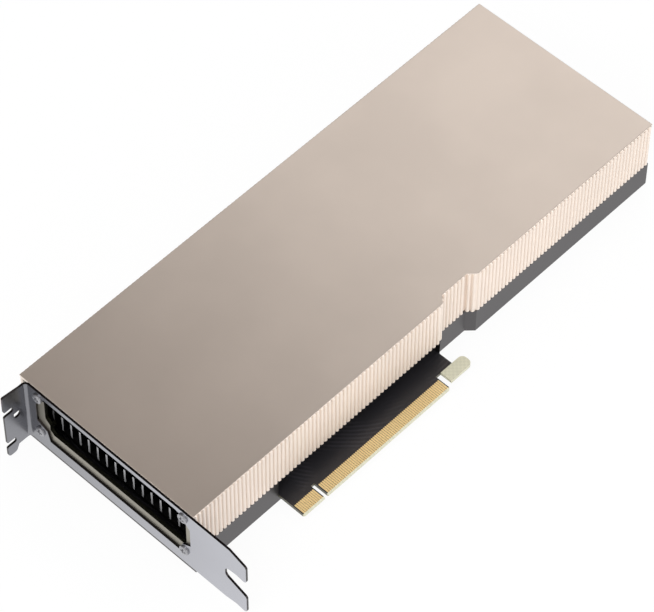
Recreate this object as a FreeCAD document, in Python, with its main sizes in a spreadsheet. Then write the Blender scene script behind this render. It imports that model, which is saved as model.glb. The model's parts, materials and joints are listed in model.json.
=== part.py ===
"""Passive accelerator card: a full-length, two-slot server card cooled by the chassis's own air.

The frame lies on its back: +X runs from the mounting bracket to the far end, +Z from the back plate to
the cover, and the edge connector is on the -Y side.  The origin is the centre of the back.  Millimetres.
"""
import FreeCAD, Part
import os
import re
import Sketcher

# Driving sizes.  Starts are measured along X from the bracket's outer face, tails along X back from the
# far end, insets inward from the card's long sides, outs outward from its -Y side, drops down from its top.
SIZES = {
    # the closed card
    "card_length": 267.7,
    "card_width": 96.6,
    "card_height": 38.5,
    "seat_gap": 0.1,
    # fluted cover
    "cover_wall": 1.5,
    "cover_top": 1.5,
    "rib_pitch": 2.16,
    "rib_depth": 0.9,
    "rib_base": 2.0,
    "rib_crest": 0.9,
    "rib_margin": 1.0,
    "recess_offset": 9.0,
    "recess_length": 21.3,
    "recess_depth": 3.2,
    # lower frame and back plate
    "frame_height": 13.2,
    "frame_wall": 2.0,
    "frame_inset": 0.3,
    "front_wall_height": 9.0,
    "back_thickness": 1.5,
    "boss_radius": 3.2,
    "head_radius": 2.5,
    "head_depth": 0.9,
    "shank_radius": 1.2,
    "hole_slack": 0.15,
    # circuit board and edge connector
    "board_bottom": 2.67,
    "board_thickness": 1.57,
    "board_slack": 0.4,
    "tab_start": 46.9,
    "tab_length": 84.1,
    "tab_out": 13.6,
    "tab_corner": 0.6,
    "bevel_length": 0.7,
    "bevel_drop": 0.45,
    "key_offset": 11.6,
    "key_width": 1.9,
    "key_depth": 7.7,
    "hook_gap": 2.9,
    "hook_length": 12.7,
    "hook_depth": 5.9,
    "hook_round": 2.4,
    "neck_width": 9.5,
    "neck_out": 5.7,
    "contact_length": 5.4,
    "contact_thickness": 0.1,
    "contact_margin": 0.5,
    # mounting bracket
    "sheet": 1.0,
    "plate_low": 3.5,
    "plate_drop": 0.1,
    "fold_inset": 4.0,
    "fold_radius": 1.5,
    "prong_out": 28.3,
    "prong_root": 17.1,
    "prong_low": 3.6,
    "prong_pitch": 20.6,
    "prong_width": 10.8,
    "prong_waist": 0.8,
    "prong_rise": 4.4,
    "prong_shoulder": 2.4,
    "prong_round": 1.6,
    "throat_round": 2.4,
    "lug_reach": 12.2,
    "lug_rise": 1.3,
    "lug_low": 0.1,
    "lug_finger": 4.4,
    "lug_lean": 1.5,
    "lug_notch_width": 2.9,
    "lug_notch_depth": 4.7,
    "lug_notch_low": 6.4,
    "lug_round": 0.7,
    "finger_round": 1.7,
    "lug_hole": 3.4,
    "lug_hole_corner": 0.9,
    "lug_hole_out": 4.0,
    "lug_hole_low": 21.2,
    "window_left": 10.8,
    "window_right": 1.6,
    "window_low": 10.7,
    "window_drop": 4.8,
    "window_cut": 4.6,
    # exhaust grille behind the bracket
    "grille_thickness": 1.5,
    "grille_left": 13.9,
    "grille_right": 4.7,
    "grille_low": 14.5,
    "grille_drop": 3.9,
    "grille_cut": 2.0,
    "grille_step": 2.4,
    "grille_step_high": 22.0,
    "post_reach": 4.0,
    "post_radius": 2.3,
    "screw_left": 11.5,
    "screw_right": 5.1,
    "screw_low": 12.2,
    "screw_drop": 4.1,
    "bracket_head_radius": 2.4,
    "bracket_head_height": 1.1,
    "bracket_shank": 5.0,
    # heat sink
    "sink_start": 7.7,
    "sink_tail": 62.7,
    "sink_inset": 9.9,
    "sink_bottom": 5.9,
    "sink_base": 2.5,
    "fin_drop": 1.9,
    "vane_thickness": 1.0,
    "vane_pitch": 5.0,
    "vane_length": 13.0,
    "fin_thickness": 0.5,
    "fin_pitch": 2.5,
    "fin_gap": 2.0,
    # processor and memory
    "package_centre": 112.0,
    "package_length": 56.0,
    "package_width": 54.0,
    "package_thickness": 0.86,
    "die_length": 26.0,
    "die_width": 32.0,
    "pad_thickness": 0.1,
    "memory_length": 11.0,
    "memory_width": 8.2,
    "memory_pitch": 11.4,
    "memory_offset": 18.6,
    "clamp_span": 76.0,
    "clamp_width": 66.0,
    "clamp_radius": 2.4,
    # posts between board and cover
    "pillar_radius": 2.2,
    "pillar_inset": 5.9,
    "pillar_start": 22.0,
    "pillar_tail": 67.7,
    # power stage
    "choke_side": 8.0,
    "choke_height": 5.0,
    "choke_tail": 55.7,
    "choke_pitch": 10.0,
    "capacitor_radius": 3.1,
    "capacitor_height": 6.0,
    "capacitor_tail": 30.7,
    "capacitor_pitch": 9.0,
    # power socket in the far end
    "socket_side": 22.0,
    "socket_length": 16.0,
    "socket_height": 9.8,
    "socket_pitch": 4.2,
    "socket_cell": 3.5,
    "socket_depth": 12.0,
    "socket_wall": 0.9,
    "pin_side": 1.1,
    "pin_reach": 9.0,
    # air intake in the far end
    "intake_thickness": 2.0,
    "intake_margin": 4.0,
    "intake_low": 16.5,
    "intake_drop": 5.0,
    "intake_cut": 3.0,
    # bridge connector cover in the long edge away from the edge connector
    "bridge_start": 26.0,
    "bridge_length": 34.0,
    "bridge_height": 7.4,
    "bridge_depth": 3.6,
}

# A wall's 45-degree corner moves along it by this share of the wall's thickness.
MITRE = 0.4142

# Formulas that several sub-parts share.
BRACKET_FACE = "-card_length / 2"
SIDE = "card_width / 2"
INNER_SIDE = f"({SIDE} - rib_depth - cover_wall)"
BOARD_TOP = "board_bottom + board_thickness"
TAB_END = "(tab_start + tab_length)"
TAB_TIP = f"({SIDE} + tab_out)"
NECK_END = f"({TAB_END} + neck_width)"
RECESS_START = f"({TAB_END} + recess_offset)"
RECESS_END = f"({RECESS_START} + recess_length)"
PLATE_HIGH = "(card_height - plate_drop)"
FOLD_EDGE = f"({SIDE} - fold_inset)"
SINK_END = "(card_length - sink_tail)"
SINK_SIDE = f"({SIDE} - sink_inset)"
SOCKET_WIDTH = "socket_pitch * 4 + socket_wall * 2"

doc = FreeCAD.newDocument("passive_accelerator_card")
sheet = doc.addObject("Spreadsheet::Sheet", "Sizes")
for row, (alias, size) in enumerate(SIZES.items(), start=1):
    sheet.set(f"A{row}", alias)
    sheet.set(f"B{row}", str(size))
    sheet.setAlias(f"B{row}", alias)
doc.recompute()

NODES = []
# Two faces or points nearer to each other than this are taken as one.
CLOSE = 0.01


def size(alias):
    """The number that a cell of the sheet holds."""
    return sheet.get(alias)


def sized(formula):
    """The expression for a formula written in the sheet's aliases."""
    return re.sub(r"\b(?!deg\b)[a-z_]+\b(?!\()", r"Sizes.\g<0>", str(formula))


def bind(item, **formulas):
    """Ties an object's properties to formulas; a dot in a property's path is written __."""
    for path, formula in formulas.items():
        item.setExpression(path.replace("__", "."), sized(formula))


def place(item, at):
    bind(item, Placement__Base__x=at[0], Placement__Base__y=at[1], Placement__Base__z=at[2])


def node(item, label, at=None):
    """Names a finished sub-part, which is written to its own file."""
    item.Label = label
    if at:
        place(item, at)
    NODES.append(item)
    return item


def box(name, size, at):
    item = doc.addObject("Part::Box", name)
    bind(item, Length=size[0], Width=size[1], Height=size[2])
    place(item, at)
    return item


def cylinder(name, radius, height, at, axis=None):
    item = doc.addObject("Part::Cylinder", name)
    if axis:
        item.Placement.Rotation = FreeCAD.Rotation(FreeCAD.Vector(0, 0, 1), axis)
    bind(item, Radius=radius, Height=height)
    place(item, at)
    return item


def new_body(name):
    return doc.addObject("PartDesign::Body", name)


def origin_feature(body, role):
    return next(item for item in body.Origin.OriginFeatures if item.Role == role)


def sketch_on(body, name, plane, lift="0"):
    """An empty sketch on one of the body's own planes, lifted along the plane's normal."""
    sketch = body.newObject("Sketcher::SketchObject", name)
    sketch.AttachmentSupport = [(origin_feature(body, plane), "")]
    sketch.MapMode = "FlatFace"
    bind(sketch, AttachmentOffset__Base__z=lift)
    return sketch


def pin_point(sketch, geometry, end, point):
    """Holds one point of a sketch at a pair of formulas, measured from the sketch's origin."""
    for kind, formula in zip(("DistanceX", "DistanceY"), point):
        index = sketch.addConstraint(Sketcher.Constraint(kind, -1, 1, geometry, end, 1.0))
        sketch.setExpression(f"Constraints[{index}]", sized(formula))


def outline(sketch, points):
    """A closed outline of straight sides through the points."""
    first = sketch.GeometryCount
    count = len(points)
    for index in range(count):
        start = FreeCAD.Vector(index, index * index, 0)
        follow = (index + 1) % count
        end = FreeCAD.Vector(follow, follow * follow, 0)
        sketch.addGeometry(Part.LineSegment(start, end), False)
    for index, point in enumerate(points):
        follow = first + (index + 1) % count
        sketch.addConstraint(Sketcher.Constraint("Coincident", first + index, 2, follow, 1))
        pin_point(sketch, first + index, 1, point)


def circle(sketch, centre, radius):
    index = sketch.addGeometry(Part.Circle(FreeCAD.Vector(1, 1, 0), FreeCAD.Vector(0, 0, 1), 1), False)
    pin_point(sketch, index, 3, centre)
    size = sketch.addConstraint(Sketcher.Constraint("Radius", index, 1.0))
    sketch.setExpression(f"Constraints[{size}]", sized(radius))


def hexagon(sketch, centre, reach):
    """A hexagon whose corners stand at the given reach, two of them along the sketch's X."""
    points = []
    for turn in range(0, 360, 60):
        points.append((f"{centre[0]} + {reach} * cos({turn} * 1 deg)",
                       f"{centre[1]} + {reach} * sin({turn} * 1 deg)"))
    outline(sketch, points)


def rectangle(low, high):
    return [low, (high[0], low[1]), high, (low[0], high[1])]


def feature(body, kind, name, sketch, length, reverse=False):
    item = body.newObject("PartDesign::" + kind, name)
    item.Profile = sketch
    item.Reversed = reverse
    bind(item, Length=length)
    return item


def round_edges(body, name, radius, along, chosen):
    """Rounds the straight edges that run along an axis and whose middle the test chooses."""
    doc.recompute()
    base = body.Tip
    edges = []
    for number, edge in enumerate(base.Shape.Edges, start=1):
        run = edge.valueAt(edge.LastParameter) - edge.valueAt(edge.FirstParameter)
        if abs(run.dot(along)) > 0.999 * edge.Length and chosen(edge.CenterOfMass):
            edges.append(f"Edge{number}")
    item = body.newObject("PartDesign::Fillet", name)
    item.Base = (base, edges)
    bind(item, Radius=radius)
    return item


def repeat(body, name, original, axis, pitch, count):
    """A row of copies of one feature along the body's own axis."""
    item = body.newObject("PartDesign::LinearPattern", name)
    item.Originals = [original]
    item.Direction = (origin_feature(body, axis), [""])
    bind(item, Occurrences=count, Length=f"({pitch}) * (({count}) - 1)")
    body.Tip = item
    return item


def shell_outline(start, end, skin):
    """The card's plan, with the recess beside the edge connector, brought in by the skin."""
    near = f"-{SIDE} + ({skin})"
    deep = f"{near} + recess_depth"
    slide = f"({skin}) * {MITRE}"
    return [
        (start, near),
        (f"{RECESS_START} - {slide}", near),
        (f"{RECESS_START} + recess_depth - {slide}", deep),
        (f"{RECESS_END} - recess_depth + {slide}", deep),
        (f"{RECESS_END} + {slide}", near),
        (end, near),
        (end, f"{SIDE} - ({skin})"),
        (start, f"{SIDE} - ({skin})"),
    ]


def rib_row(body, name, start, end, root, outward):
    """A row of upright ribs along one stretch of the cover's side wall."""
    height = "card_height - frame_height"
    tip = f"{root} + {outward} * rib_depth"
    seat = f"{root} - {outward} * cover_wall / 2"
    shoulder = "(rib_base - rib_crest) / 2"
    profile = sketch_on(body, name + "Profile", "XY_Plane")
    outline(profile, [
        (start, seat),
        (start, root),
        (f"{start} + {shoulder}", tip),
        (f"{start} + {shoulder} + rib_crest", tip),
        (f"{start} + rib_base", root),
        (f"{start} + rib_base", seat),
    ])
    rib = feature(body, "Pad", name, profile, height)
    repeat(body, name + "Row", rib, "X_Axis", "rib_pitch",
           f"floor((({end}) - ({start}) - rib_base) / rib_pitch) + 1")


def fluted_cover():
    """Top plate and side walls in one, with ribs down the whole of both long sides."""
    body = new_body("FlutedCover")
    profile = sketch_on(body, "CoverProfile", "XY_Plane")
    outline(profile, shell_outline("sheet", "card_length", "rib_depth"))
    feature(body, "Pad", "CoverBlock", profile, "card_height - frame_height")
    hollow = sketch_on(body, "CoverHollowProfile", "XY_Plane")
    outline(hollow, shell_outline("0", "card_length + sheet", "rib_depth + cover_wall"))
    feature(body, "Pocket", "CoverHollow", hollow, "card_height - frame_height - cover_top", True)
    near = f"-{SIDE} + rib_depth"
    first = "sheet + seat_gap"
    rib_row(body, "NearRib", first, RECESS_START, near, "-1")
    rib_row(body, "RecessRib", f"{RECESS_START} + recess_depth + rib_margin",
            f"{RECESS_END} - recess_depth", near + " + recess_depth", "-1")
    rib_row(body, "FarRib", f"{RECESS_END} + rib_margin", "card_length", near, "-1")
    rib_row(body, "EdgeRib", first, "card_length", f"{SIDE} - rib_depth", "1")
    node(body, "fluted_cover", (BRACKET_FACE, "0", "frame_height"))


def lower_frame():
    """The dark frame under the cover, open where the edge connector, cap and power socket come out."""
    body = new_body("LowerFrame")
    profile = sketch_on(body, "FrameProfile", "XY_Plane")
    outline(profile, shell_outline("sheet", "card_length", "frame_inset"))
    feature(body, "Pad", "FrameBlock", profile, "frame_height")
    hollow = sketch_on(body, "FrameHollowProfile", "XY_Plane")
    outline(hollow, shell_outline("sheet + frame_wall", "card_length - frame_wall",
                                  "frame_inset + frame_wall"))
    feature(body, "Pocket", "FrameHollow", hollow, "frame_height", True)
    gap = sketch_on(body, "ConnectorGapProfile", "XY_Plane", "board_bottom")
    outline(gap, rectangle(("tab_start - seat_gap", "-card_width"),
                           (f"{NECK_END} + seat_gap", "-card_width / 4")))
    feature(body, "Pocket", "ConnectorGap", gap, "frame_height", True)
    front = sketch_on(body, "FrontGapProfile", "XY_Plane", "front_wall_height")
    outline(front, rectangle(("0", f"-{INNER_SIDE}"), ("sheet + frame_wall * 2", INNER_SIDE)))
    feature(body, "Pocket", "FrontGap", front, "frame_height", True)
    socket = sketch_on(body, "SocketGapProfile", "XY_Plane", BOARD_TOP)
    outline(socket, rectangle(("card_length - frame_wall * 2", "socket_side - seat_gap"),
                              ("card_length + frame_wall", f"socket_side + {SOCKET_WIDTH} + seat_gap")))
    feature(body, "Pocket", "SocketGap", socket, "frame_height", True)
    bridge = sketch_on(body, "BridgeGapProfile", "XY_Plane", BOARD_TOP)
    outline(bridge, rectangle(("bridge_start", "card_width / 4"),
                              ("bridge_start + bridge_length", "card_width")))
    feature(body, "Pocket", "BridgeGap", bridge, "bridge_height", True)
    node(body, "lower_frame", (BRACKET_FACE, "0", "0"))


def clamp_points():
    """Centres of the four screws round the processor, which draw the heat sink down on it."""
    return [(f"package_centre + {along} * clamp_span / 2", f"{across} * clamp_width / 2")
            for across in ("-1", "1") for along in ("-1", "1")]


def back_plate():
    """Flat plate that closes the back inside the frame, with a boss under each board screw."""
    body = new_body("BackPlate")
    skin = "frame_inset + frame_wall + seat_gap"
    profile = sketch_on(body, "BackProfile", "XY_Plane")
    outline(profile, shell_outline("sheet + frame_wall + seat_gap",
                                   "card_length - frame_wall - seat_gap", skin))
    feature(body, "Pad", "BackSheet", profile, "back_thickness")
    bosses = sketch_on(body, "BackBossProfile", "XY_Plane")
    for centre in clamp_points():
        hexagon(bosses, centre, "boss_radius")
    feature(body, "Pad", "BackBosses", bosses, "board_bottom")
    holes = sketch_on(body, "BackHoleProfile", "XY_Plane")
    for centre in clamp_points():
        circle(holes, centre, "shank_radius + hole_slack")
    feature(body, "Pocket", "BackHoles", holes, "board_bottom", True)
    sinks = sketch_on(body, "BackSinkProfile", "XY_Plane")
    for centre in clamp_points():
        circle(sinks, centre, "head_radius + hole_slack")
    feature(body, "Pocket", "BackSinks", sinks, "head_depth + hole_slack", True)
    node(body, "back_plate", (BRACKET_FACE, "0", "0"))


def circuit_board():
    """The board, with its edge-connector tab, key notch and retention hook on the -Y side."""
    body = new_body("CircuitBoard")
    inner = f"-{SIDE} + recess_depth + frame_inset + frame_wall + board_slack"
    start = "sheet + frame_wall + board_slack"
    end = "card_length - frame_wall - board_slack"
    edge = f"{SIDE} - frame_inset - frame_wall - board_slack"
    key_start = "tab_start + key_offset"
    key_top = f"-{TAB_TIP} + key_depth"
    neck = f"-{SIDE} - neck_out"
    hook_start = f"{TAB_END} + hook_gap"
    profile = sketch_on(body, "BoardProfile", "XY_Plane")
    outline(profile, [
        (start, inner),
        ("tab_start", inner),
        ("tab_start", f"-{TAB_TIP} + tab_corner"),
        ("tab_start + tab_corner", f"-{TAB_TIP}"),
        (key_start, f"-{TAB_TIP}"),
        (key_start, key_top),
        (f"{key_start} + key_width", key_top),
        (f"{key_start} + key_width", f"-{TAB_TIP}"),
        (f"{TAB_END} - tab_corner", f"-{TAB_TIP}"),
        (TAB_END, f"-{TAB_TIP} + tab_corner"),
        (TAB_END, neck),
        (hook_start, neck),
        (hook_start, f"{neck} - hook_depth"),
        (f"{hook_start} + hook_length", f"{neck} - hook_depth"),
        (f"{hook_start} + hook_length", neck),
        (NECK_END, neck),
        (NECK_END, inner),
        (end, inner),
        (end, edge),
        (start, edge),
    ])
    feature(body, "Pad", "BoardSheet", profile, "board_thickness")
    hook_end = size("tab_start") + size("tab_length") + size("hook_gap") + size("hook_length")
    round_edges(body, "HookEnd", "hook_round", FreeCAD.Vector(0, 0, 1),
                lambda middle: abs(middle.x - hook_end) < CLOSE)
    bevel = sketch_on(body, "BevelProfile", "YZ_Plane", "tab_start")
    for face, drop in (("0", "bevel_drop"), ("board_thickness", "board_thickness - bevel_drop")):
        outline(bevel, [(f"-{TAB_TIP}", face), (f"-{TAB_TIP} + bevel_length", face), (f"-{TAB_TIP}", drop)])
    feature(body, "Pocket", "Bevel", bevel, "tab_length", True)
    holes = sketch_on(body, "BoardHoleProfile", "XY_Plane")
    for centre in clamp_points():
        circle(holes, centre, "shank_radius + hole_slack")
    feature(body, "Pocket", "BoardHoles", holes, "board_thickness", True)
    node(body, "circuit_board", (BRACKET_FACE, "0", "board_bottom"))


def edge_contacts():
    """Gold contact strips on both faces of the tab, before and after the key notch."""
    faces = {"top": BOARD_TOP, "bottom": "board_bottom - contact_thickness"}
    runs = {
        "short": ("tab_start + contact_margin", "tab_start + key_offset - contact_margin"),
        "long": ("tab_start + key_offset + key_width + contact_margin", f"{TAB_END} - contact_margin"),
    }
    for face, height in faces.items():
        for run, (start, end) in runs.items():
            label = f"contacts_{run}_{face}"
            strip = box(label, (f"({end}) - ({start})", "contact_length", "contact_thickness"),
                        (f"{BRACKET_FACE} + {start}", f"-{TAB_TIP} + bevel_length", height))
            node(strip, label)


def mounting_bracket():
    """Slot bracket folded from one sheet: plate with window, two prongs, and the screw lug folded out."""
    body = new_body("MountingBracket")
    upright = FreeCAD.Vector(0, 0, 1)
    leg = "(fold_radius * 2 + sheet)"
    corner = sketch_on(body, "FoldProfile", "XY_Plane", "plate_low")
    outline(corner, [
        ("sheet", f"{FOLD_EDGE} - {leg}"),
        ("sheet", FOLD_EDGE),
        (f"sheet - {leg}", FOLD_EDGE),
        (f"sheet - {leg}", f"{FOLD_EDGE} - sheet"),
        ("0", f"{FOLD_EDGE} - sheet"),
        ("0", f"{FOLD_EDGE} - {leg}"),
    ])
    feature(body, "Pad", "Fold", corner, f"{PLATE_HIGH} - plate_low")
    fold = size("card_width") / 2 - size("fold_inset")
    round_edges(body, "FoldInside", "fold_radius", upright,
                lambda middle: abs(middle.x) < CLOSE and abs(middle.y - fold + size("sheet")) < CLOSE)
    round_edges(body, "FoldOutside", "fold_radius + sheet", upright,
                lambda middle: abs(middle.x - size("sheet")) < CLOSE and abs(middle.y - fold) < CLOSE)
    root = f"-{SIDE} - prong_root"
    tip = f"-{SIDE} - prong_out"
    plate = sketch_on(body, "PlateProfile", "YZ_Plane")
    start = f"{FOLD_EDGE} - {leg}"
    points = [(start, PLATE_HIGH), (start, "plate_low"), (root, "plate_low")]
    for slot in ("0", "prong_pitch"):
        low = f"prong_low + {slot}"
        high = f"{low} + prong_width"
        points += [
            (f"({root} + ({tip})) / 2", f"{low} + prong_waist"),
            (tip, low),
            (tip, high),
            (root, f"{high} + prong_rise"),
            (root, "prong_low + prong_pitch"),
        ]
    points[-2:] = [(f"{root} - prong_shoulder", PLATE_HIGH)]
    outline(plate, points)
    feature(body, "Pad", "Plate", plate, "sheet")
    lug = sketch_on(body, "LugProfile", "XZ_Plane", f"-{FOLD_EDGE}")
    notch_in = "-lug_reach + lug_notch_depth"
    points = [
        (f"sheet - {leg}", PLATE_HIGH),
        ("-lug_reach", f"{PLATE_HIGH} + lug_rise"),
    ]
    for slot in ("prong_pitch", "0"):
        low = f"lug_notch_low + {slot}"
        high = f"{low} + lug_notch_width"
        points += [
            ("-lug_reach", high),
            (notch_in, high),
            (notch_in, low),
            ("-lug_reach", low),
        ]
    points += [
        ("-lug_reach", "lug_low"),
        ("-lug_reach + lug_finger", "lug_low"),
        ("-lug_reach + lug_finger + lug_lean", "plate_low"),
        (f"sheet - {leg}", "plate_low"),
    ]
    outline(lug, points)
    feature(body, "Pad", "Lug", lug, "sheet")
    across = FreeCAD.Vector(1, 0, 0)
    prong_tip = -size("card_width") / 2 - size("prong_out")
    prong_root = -size("card_width") / 2 - size("prong_root")
    round_edges(body, "ProngTips", "prong_round", across,
                lambda middle: abs(middle.y - prong_tip) < CLOSE)
    round_edges(body, "ProngThroat", "throat_round", across,
                lambda middle: abs(middle.y - prong_root) < CLOSE and middle.z > size("prong_low") + CLOSE)
    along = FreeCAD.Vector(0, 1, 0)
    finger_tip = size("lug_low") + CLOSE
    round_edges(body, "FingerTip", "finger_round", along, lambda middle: middle.z < finger_tip)
    round_edges(body, "LugCorners", "lug_round", along,
                lambda middle: middle.x < CLOSE - size("lug_reach"))
    round_edges(body, "NotchEnds", "lug_round", along,
                lambda middle: abs(middle.x + size("lug_reach") - size("lug_notch_depth")) < CLOSE)
    doc.recompute()
    window = sketch_on(body, "WindowProfile", "YZ_Plane")
    left = f"{SIDE} - window_left"
    right = f"-{SIDE} + window_right"
    high = "card_height - window_drop"
    outline(window, [
        (f"{left} - window_cut * 1.3", "window_low"),
        (f"{right} + window_cut * 1.3", "window_low"),
        (f"{right} + window_cut", "window_low + window_cut"),
        (right, "window_low + window_cut * 1.6"),
        (right, f"{high} - window_cut"),
        (f"{right} + window_cut", high),
        (f"{left} - window_cut", high),
        (left, f"{high} - window_cut"),
        (left, "window_low + window_cut * 1.6"),
        (f"{left} - window_cut", "window_low + window_cut"),
    ])
    feature(body, "Pocket", "Window", window, "sheet", True)
    hole = sketch_on(body, "LugHoleProfile", "XZ_Plane", f"-{FOLD_EDGE}")
    outline(hole, [
        ("-lug_hole_out - lug_hole", "lug_hole_low + lug_hole_corner"),
        ("-lug_hole_out - lug_hole + lug_hole_corner", "lug_hole_low"),
        ("-lug_hole_out - lug_hole_corner", "lug_hole_low"),
        ("-lug_hole_out", "lug_hole_low + lug_hole_corner"),
        ("-lug_hole_out", "lug_hole_low + lug_hole - lug_hole_corner"),
        ("-lug_hole_out - lug_hole_corner", "lug_hole_low + lug_hole"),
        ("-lug_hole_out - lug_hole", "lug_hole_low + lug_hole"),
    ])
    feature(body, "Pocket", "LugHole", hole, "sheet", True)
    screws = sketch_on(body, "BracketHoleProfile", "YZ_Plane")
    for centre in bracket_screws():
        circle(screws, centre, "shank_radius + hole_slack")
    feature(body, "Pocket", "BracketHoles", screws, "sheet", True)
    node(body, "mounting_bracket", (BRACKET_FACE, "0", "0"))


def bracket_screws():
    """Centres, across and up, of the four screws that hold the bracket to the grille's posts."""
    return [(across, up) for across in (f"({SIDE} - screw_left)", f"(-{SIDE} + screw_right)")
            for up in ("screw_low", "(card_height - screw_drop)")]


def exhaust_grille():
    """Frame just behind the bracket's window, with a post behind each of its screws."""
    body = new_body("ExhaustGrille")
    side = f"({INNER_SIDE} - seat_gap)"
    low = "front_wall_height + seat_gap"
    profile = sketch_on(body, "GrilleProfile", "YZ_Plane")
    outline(profile, rectangle((f"-{side}", low), (side, "card_height - cover_top - seat_gap")))
    feature(body, "Pad", "GrilleSheet", profile, "grille_thickness")
    posts = sketch_on(body, "GrillePostProfile", "YZ_Plane")
    for centre in bracket_screws():
        hexagon(posts, centre, "post_radius")
    feature(body, "Pad", "GrillePosts", posts, "grille_thickness + post_reach")
    opening = sketch_on(body, "GrilleOpeningProfile", "YZ_Plane")
    left = f"{SIDE} - grille_left"
    right = f"-{SIDE} + grille_right"
    high = "card_height - grille_drop"
    outline(opening, [
        (f"{left} - grille_step - grille_cut", "grille_low"),
        (f"{right} + grille_cut", "grille_low"),
        (right, "grille_low + grille_cut"),
        (right, f"{high} - grille_cut"),
        (f"{right} + grille_cut", high),
        (f"{left} - grille_cut", high),
        (left, f"{high} - grille_cut"),
        (left, "grille_step_high"),
        (f"{left} - grille_step", "grille_step_high - grille_step"),
        (f"{left} - grille_step", "grille_low + grille_cut"),
    ])
    feature(body, "Pocket", "GrilleOpening", opening, "grille_thickness", True)
    holes = sketch_on(body, "GrilleHoleProfile", "YZ_Plane")
    for centre in bracket_screws():
        circle(holes, centre, "shank_radius + hole_slack")
    feature(body, "Pocket", "GrilleHoles", holes, "grille_thickness + post_reach", True)
    node(body, "exhaust_grille", (f"{BRACKET_FACE} + sheet", "0", "0"))


def screw(label, head, head_height, shank, reach, at, axis):
    """A plain screw, its head's outer face at the given place and its shank along the axis."""
    cap = cylinder(label + "_head", head, head_height, at, axis)
    stem = cylinder(label + "_shank", shank, f"{head_height} + {reach}", at, axis)
    item = doc.addObject("Part::Fuse", label)
    item.Base = cap
    item.Tool = stem
    node(item, label)


def screws():
    for number, (across, up) in enumerate(bracket_screws(), start=1):
        screw(f"bracket_screw_{number}", "bracket_head_radius", "bracket_head_height", "shank_radius",
              "bracket_shank", (f"{BRACKET_FACE} - bracket_head_height", across, up),
              FreeCAD.Vector(1, 0, 0))
    for number, (along, across) in enumerate(clamp_points(), start=1):
        screw(f"back_screw_{number}", "head_radius", "head_depth", "shank_radius",
              "sink_bottom - head_depth * 2", (f"{BRACKET_FACE} + {along}", across, "hole_slack"),
              FreeCAD.Vector(0, 0, 1))


def heat_sink():
    """Base plate with a stack of fins along the air's path, and thicker vanes where the air leaves."""
    body = new_body("HeatSink")
    base = sketch_on(body, "SinkProfile", "XY_Plane")
    outline(base, rectangle(("sink_start", f"-{SINK_SIDE}"), (SINK_END, SINK_SIDE)))
    feature(body, "Pad", "SinkBase", base, "sink_base")
    vane_end = "sink_start + vane_length"
    for kind, start, end in (("vane", "sink_start", vane_end), ("fin", f"{vane_end} + fin_gap", SINK_END)):
        steps = f"floor(({SINK_SIDE} * 2 - {kind}_thickness) / {kind}_pitch)"
        edge = f"-{steps} * {kind}_pitch / 2"
        profile = sketch_on(body, kind.title() + "Profile", "XY_Plane")
        outline(profile, rectangle((start, f"{edge} - {kind}_thickness / 2"),
                                   (end, f"{edge} + {kind}_thickness / 2")))
        first = feature(body, "Pad", kind.title(), profile, "card_height - fin_drop - sink_bottom")
        repeat(body, kind.title() + "Row", first, "Y_Axis", f"{kind}_pitch", f"{steps} + 1")
    feet = sketch_on(body, "SinkFootProfile", "XY_Plane")
    for centre in clamp_points():
        hexagon(feet, centre, "clamp_radius")
        circle(feet, centre, "shank_radius + hole_slack")
    feature(body, "Pad", "SinkFeet", feet, "sink_bottom - board_bottom - board_thickness", True)
    node(body, "heat_sink", (BRACKET_FACE, "0", "sink_bottom"))


def processor():
    """Package, die and memory stacks on the board, with the thermal pad that meets the heat sink."""
    centre = f"{BRACKET_FACE} + package_centre"
    seat = f"{BOARD_TOP} + package_thickness"
    height = f"sink_bottom - pad_thickness - ({seat})"
    node(box("processor_package", ("package_length", "package_width", "package_thickness"),
             (f"{centre} - package_length / 2", "-package_width / 2", BOARD_TOP)), "processor_package")
    node(box("processor_die", ("die_length", "die_width", height),
             (f"{centre} - die_length / 2", "-die_width / 2", seat)), "processor_die")
    for column, side in enumerate(("-1", "1")):
        for place_in_row in range(2):
            label = f"memory_stack_{column * 2 + place_in_row + 1}"
            across = f"({place_in_row} - 0.5) * memory_pitch"
            node(box(label, ("memory_width", "memory_length", height),
                     (f"{centre} + {side} * memory_offset - memory_width / 2",
                      f"{across} - memory_length / 2", seat)), label)
    node(box("thermal_pad", ("package_length", "package_width", "pad_thickness"),
             (f"{centre} - package_length / 2", "-package_width / 2", "sink_bottom - pad_thickness")),
         "thermal_pad")


def pillars():
    """Four hexagonal posts from the board up to the underside of the cover."""
    number = 0
    for across in (f"-({SIDE} - pillar_inset)", f"{SIDE} - pillar_inset"):
        for along in ("pillar_start", "card_length - pillar_tail"):
            number += 1
            label = f"cover_pillar_{number}"
            post = doc.addObject("Part::Prism", label)
            post.Polygon = 6
            bind(post, Circumradius="pillar_radius", Height=f"card_height - cover_top - ({BOARD_TOP})")
            node(post, label, (f"{BRACKET_FACE} + {along}", across, BOARD_TOP))


def power_stage():
    """Chokes and capacitors between the heat sink and the power socket."""
    for number in range(6):
        label = f"choke_{number + 1}"
        across = f"({number} - 2.5) * choke_pitch - choke_side / 2"
        node(box(label, ("choke_side", "choke_side", "choke_height"),
                 ("card_length / 2 - choke_tail", across, BOARD_TOP)), label)
    for number in range(5):
        label = f"capacitor_{number + 1}"
        across = f"({number} - 2) * capacitor_pitch"
        node(cylinder(label, "capacitor_radius", "capacitor_height",
                      ("card_length / 2 - capacitor_tail", across, BOARD_TOP)), label)


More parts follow.
